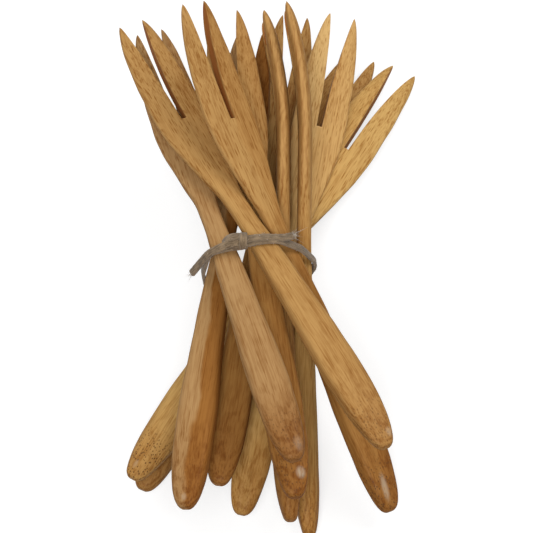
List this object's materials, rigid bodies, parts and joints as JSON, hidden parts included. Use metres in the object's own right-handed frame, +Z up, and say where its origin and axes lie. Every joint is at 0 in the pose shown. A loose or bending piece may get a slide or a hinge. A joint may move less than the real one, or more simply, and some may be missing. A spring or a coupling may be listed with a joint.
{
  "type": "wooden cutlery pack",
  "caption": "Bundle of carved bamboo forks with long slotted heads, tied round their necks with a flat suede lace and lying on its side.",
  "frame": {"origin": "centre of the bounding box's base, on the surface that the bundle lies on", "axes": "+Y along the bundle towards the forks' tines, +Z up from the surface, +X to the right when looking along +Y"},
  "size_m": [0.091, 0.1816, 0.0686],
  "materials": {
    "bamboo": "sanded and oiled bamboo, satin, with fine lengthwise fibres and small dark pores",
    "suede_lace": "matt grey-brown suede with a fine nap and rough cut edges"
  },
  "bodies": {
    "root": {"fork_01": "bamboo", "fork_02": "bamboo", "fork_03": "bamboo", "fork_04": "bamboo", "fork_05": "bamboo", "fork_06": "bamboo", "fork_07": "bamboo", "fork_08": "bamboo", "fork_09": "bamboo", "fork_10": "bamboo", "fork_11": "bamboo", "tie_cord": "suede_lace"}
  },
  "joints": []
}
